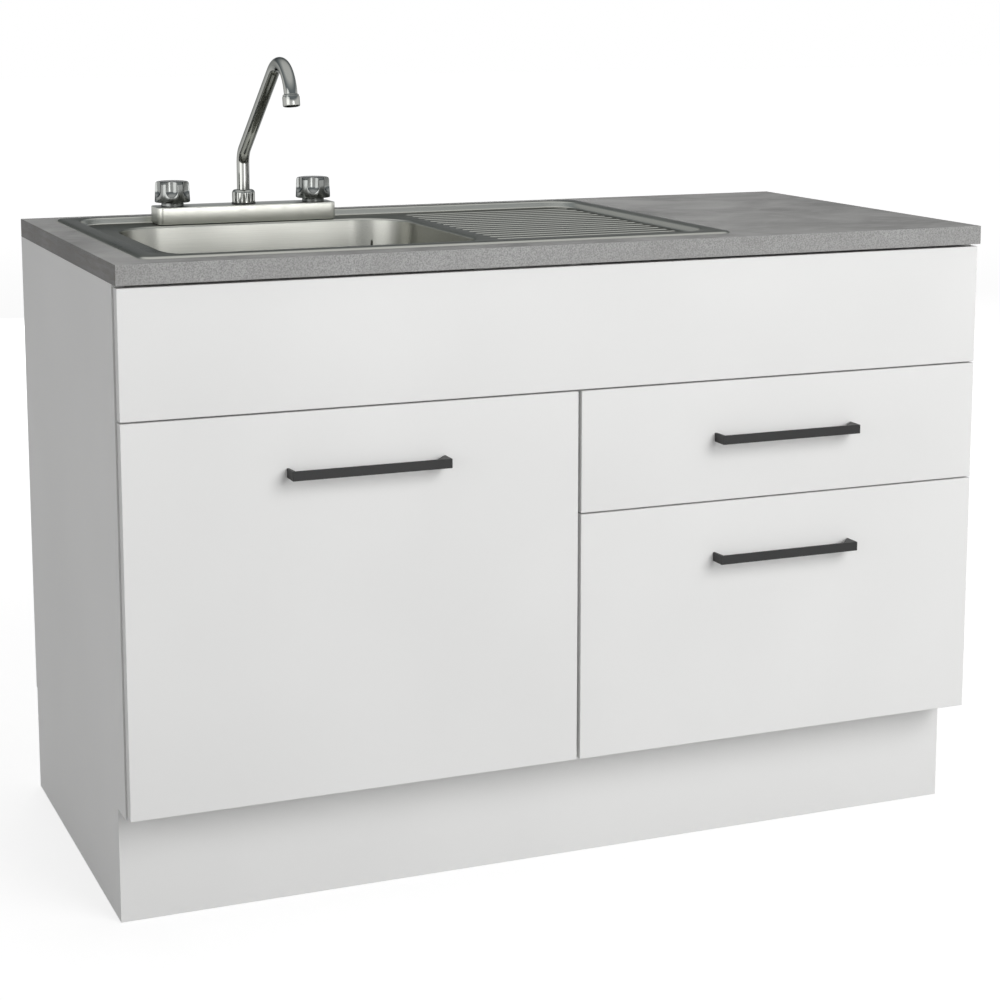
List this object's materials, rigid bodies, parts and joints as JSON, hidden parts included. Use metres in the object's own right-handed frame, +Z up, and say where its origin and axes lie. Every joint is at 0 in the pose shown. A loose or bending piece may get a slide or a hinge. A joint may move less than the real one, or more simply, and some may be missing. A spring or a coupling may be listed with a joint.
{
  "type": "kitchen sink unit",
  "caption": "White kitchen sink base unit with worktop, pressed steel bowl and ribbed drainer, swivel-spout mixer tap, hinged door and roller-runner drawers.",
  "frame": {"origin": "middle of the unit's footprint at floor level, handles included", "axes": "+X to the unit's right seen from the front, +Y towards the wall, +Z up"},
  "size_m": [1.2, 0.621, 1.0678],
  "materials": {
    "worktop_laminate": "grey concrete-look laminate",
    "stainless": "satin stainless sheet",
    "rubber": "matt",
    "zinc_steel": "zinc plated",
    "white_plastic": "satin",
    "chrome": "polished",
    "black_plastic": "satin black",
    "brass": "turned",
    "white_board": "white melamine",
    "hardboard": "white-faced hardboard",
    "nylon": "satin"
  },
  "bodies": {
    "cabinet": {"worktop": "worktop_laminate", "sink": "stainless", "sink_seal": "rubber", "sink_clips": "zinc_steel", "waste_body": "stainless", "waste_nut": "white_plastic", "overflow_elbow": "white_plastic", "overflow_pipe": "white_plastic", "trap_head": "white_plastic", "trap_cup": "white_plastic", "trap_inlet_nut": "white_plastic", "trap_outlet_nut": "white_plastic", "waste_pipe": "white_plastic", "tap_block": "chrome", "tap_gasket": "rubber", "spout_ring": "black_plastic", "spout_nut": "chrome", "knob_collars": "chrome", "tap_headworks": "brass", "tap_inlets": "brass", "tap_backnuts": "brass", "side_left": "white_board", "side_right": "white_board", "bottom_panel": "white_board", "partition": "white_board", "front_rails": "white_board", "rear_rails": "white_board", "back_panel": "hardboard", "plinth_front": "white_board", "plinth_rear": "white_board", "plinth_sides": "white_board", "blind_panel": "white_board", "blind_brackets": "zinc_steel", "hinge_arms": "zinc_steel", "front_buffers": "rubber", "cabinet_rails": "zinc_steel"},
    "strainer": {"strainer_basket": "stainless"},
    "spout": {"spout": "chrome", "aerator": "chrome"},
    "hot_knob": {"knob_hot": "chrome"},
    "cold_knob": {"knob_cold": "chrome"},
    "door": {"door": "white_board", "door_handle": "black_plastic", "hinge_cups": "zinc_steel"},
    "upper_drawer": {"upper_front": "white_board", "upper_handle": "black_plastic", "upper_box_sides": "white_board", "upper_box_back": "white_board", "upper_box_bottom": "hardboard", "upper_drawer_rails": "zinc_steel"},
    "lower_drawer": {"lower_front": "white_board", "lower_handle": "black_plastic", "lower_box_sides": "white_board", "lower_box_back": "white_board", "lower_box_bottom": "hardboard", "lower_drawer_rails": "zinc_steel"},
    "upper_front_roller": {"upper_front_rollers": "nylon"},
    "upper_tail_roller": {"upper_tail_rollers": "nylon"},
    "lower_front_roller": {"lower_front_rollers": "nylon"},
    "lower_tail_roller": {"lower_tail_rollers": "nylon"}
  },
  "joints": [
    {"name": "door_hinge", "type": "hinge", "parent": "cabinet", "child": "door", "pos_m": [-0.592, -0.2855, 0.4], "axis": [0, 0, -1], "range_deg": [0, 95]},
    {"name": "upper_slide", "type": "slide", "parent": "cabinet", "child": "upper_drawer", "axis": [0, -1, 0], "range_m": [0, 0.38]},
    {"name": "lower_slide", "type": "slide", "parent": "cabinet", "child": "lower_drawer", "axis": [0, -1, 0], "range_m": [0, 0.38]},
    {"name": "upper_front_spin", "type": "hinge", "parent": "cabinet", "child": "upper_front_roller", "pos_m": [0.296, -0.2485, 0.51085], "axis": [1, 0, 0], "range_deg": [0, 1980]},
    {"name": "upper_tail_spin", "type": "hinge", "parent": "upper_drawer", "child": "upper_tail_roller", "pos_m": [0.296, 0.2165, 0.5093], "axis": [1, 0, 0], "range_deg": [0, 2292]},
    {"name": "lower_front_spin", "type": "hinge", "parent": "cabinet", "child": "lower_front_roller", "pos_m": [0.296, -0.2485, 0.18885], "axis": [1, 0, 0], "range_deg": [0, 1980]},
    {"name": "lower_tail_spin", "type": "hinge", "parent": "lower_drawer", "child": "lower_tail_roller", "pos_m": [0.296, 0.2165, 0.1873], "axis": [1, 0, 0], "range_deg": [0, 2292]},
    {"name": "spout_swivel", "type": "hinge", "parent": "cabinet", "child": "spout", "pos_m": [-0.2994, 0.2205, 0.85], "axis": [0, 0, 1], "continuous": true},
    {"name": "hot_turn", "type": "hinge", "parent": "cabinet", "child": "hot_knob", "pos_m": [-0.4029, 0.2205, 0.875], "axis": [0, 0, 1], "range_deg": [0, 180]},
    {"name": "cold_turn", "type": "hinge", "parent": "cabinet", "child": "cold_knob", "pos_m": [-0.1959, 0.2205, 0.875], "axis": [0, 0, 1], "range_deg": [0, 180]},
    {"name": "basket_lift", "type": "slide", "parent": "cabinet", "child": "strainer", "axis": [0, 0, 1], "range_m": [0, 0.12]}
  ],
  "couplings": [
    {"joint": "upper_front_spin", "follows": "upper_slide", "rad_per_m": 90.909},
    {"joint": "upper_tail_spin", "follows": "upper_slide", "rad_per_m": 105.26},
    {"joint": "lower_front_spin", "follows": "lower_slide", "rad_per_m": 90.909},
    {"joint": "lower_tail_spin", "follows": "lower_slide", "rad_per_m": 105.26}
  ]
}
